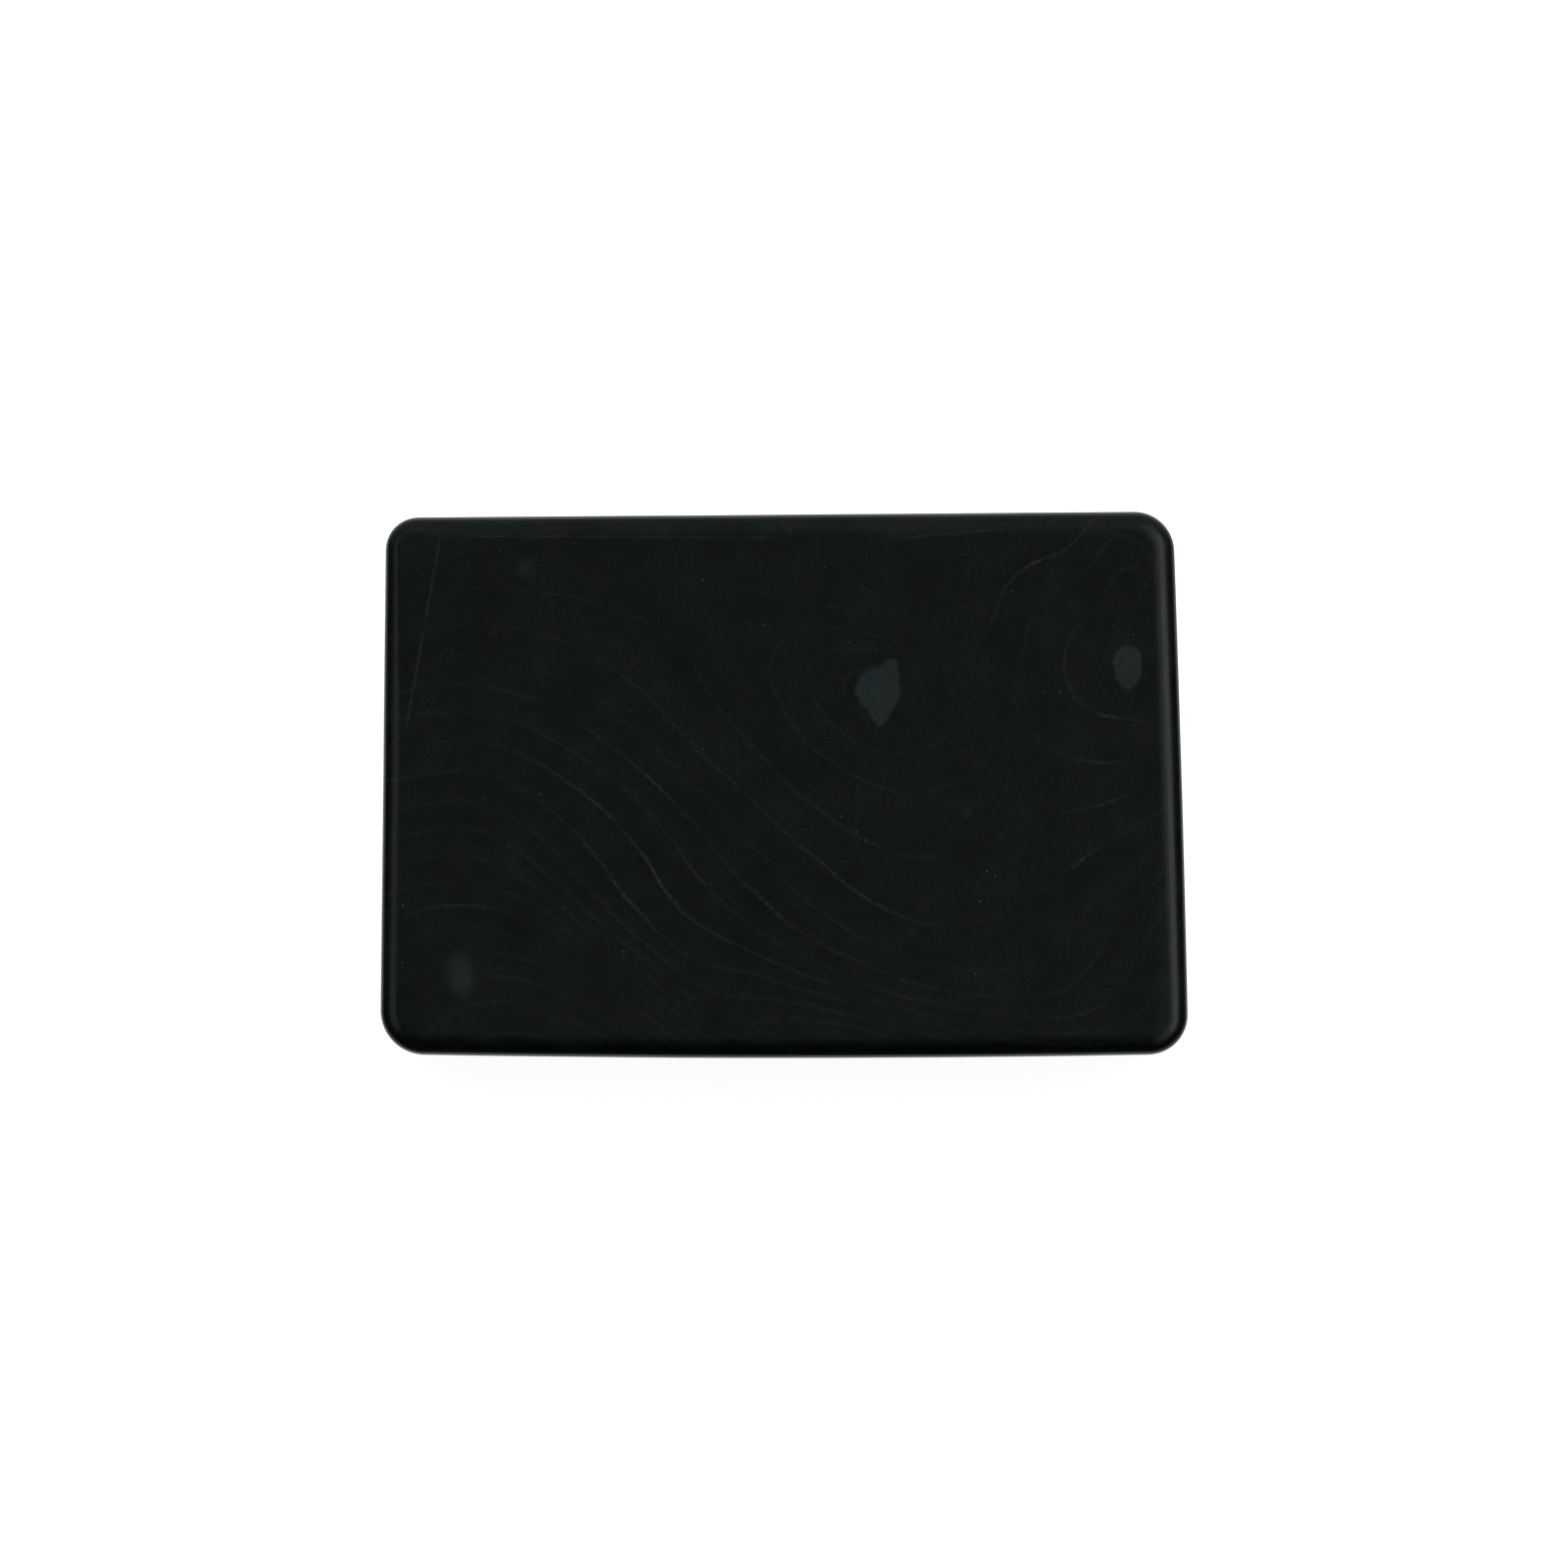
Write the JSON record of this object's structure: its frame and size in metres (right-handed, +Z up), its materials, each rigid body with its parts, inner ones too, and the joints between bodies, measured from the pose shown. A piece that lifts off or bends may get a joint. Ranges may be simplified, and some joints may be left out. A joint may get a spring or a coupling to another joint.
{
  "type": "massage stone",
  "caption": "Flat rectangular hot-massage stone of polished near-black rock, with rounded corners and edges and faint contour-like layers.",
  "frame": {"origin": "centre of the stone's box in plan, on its lower flat face, which rests on the surface below", "axes": "+X along the length, +Y across the width towards the shorter long side, +Z up through the thickness"},
  "size_m": [0.09, 0.061, 0.018],
  "materials": {
    "stone": "gloss"
  },
  "bodies": {
    "root": {"stone": "stone"}
  },
  "joints": []
}
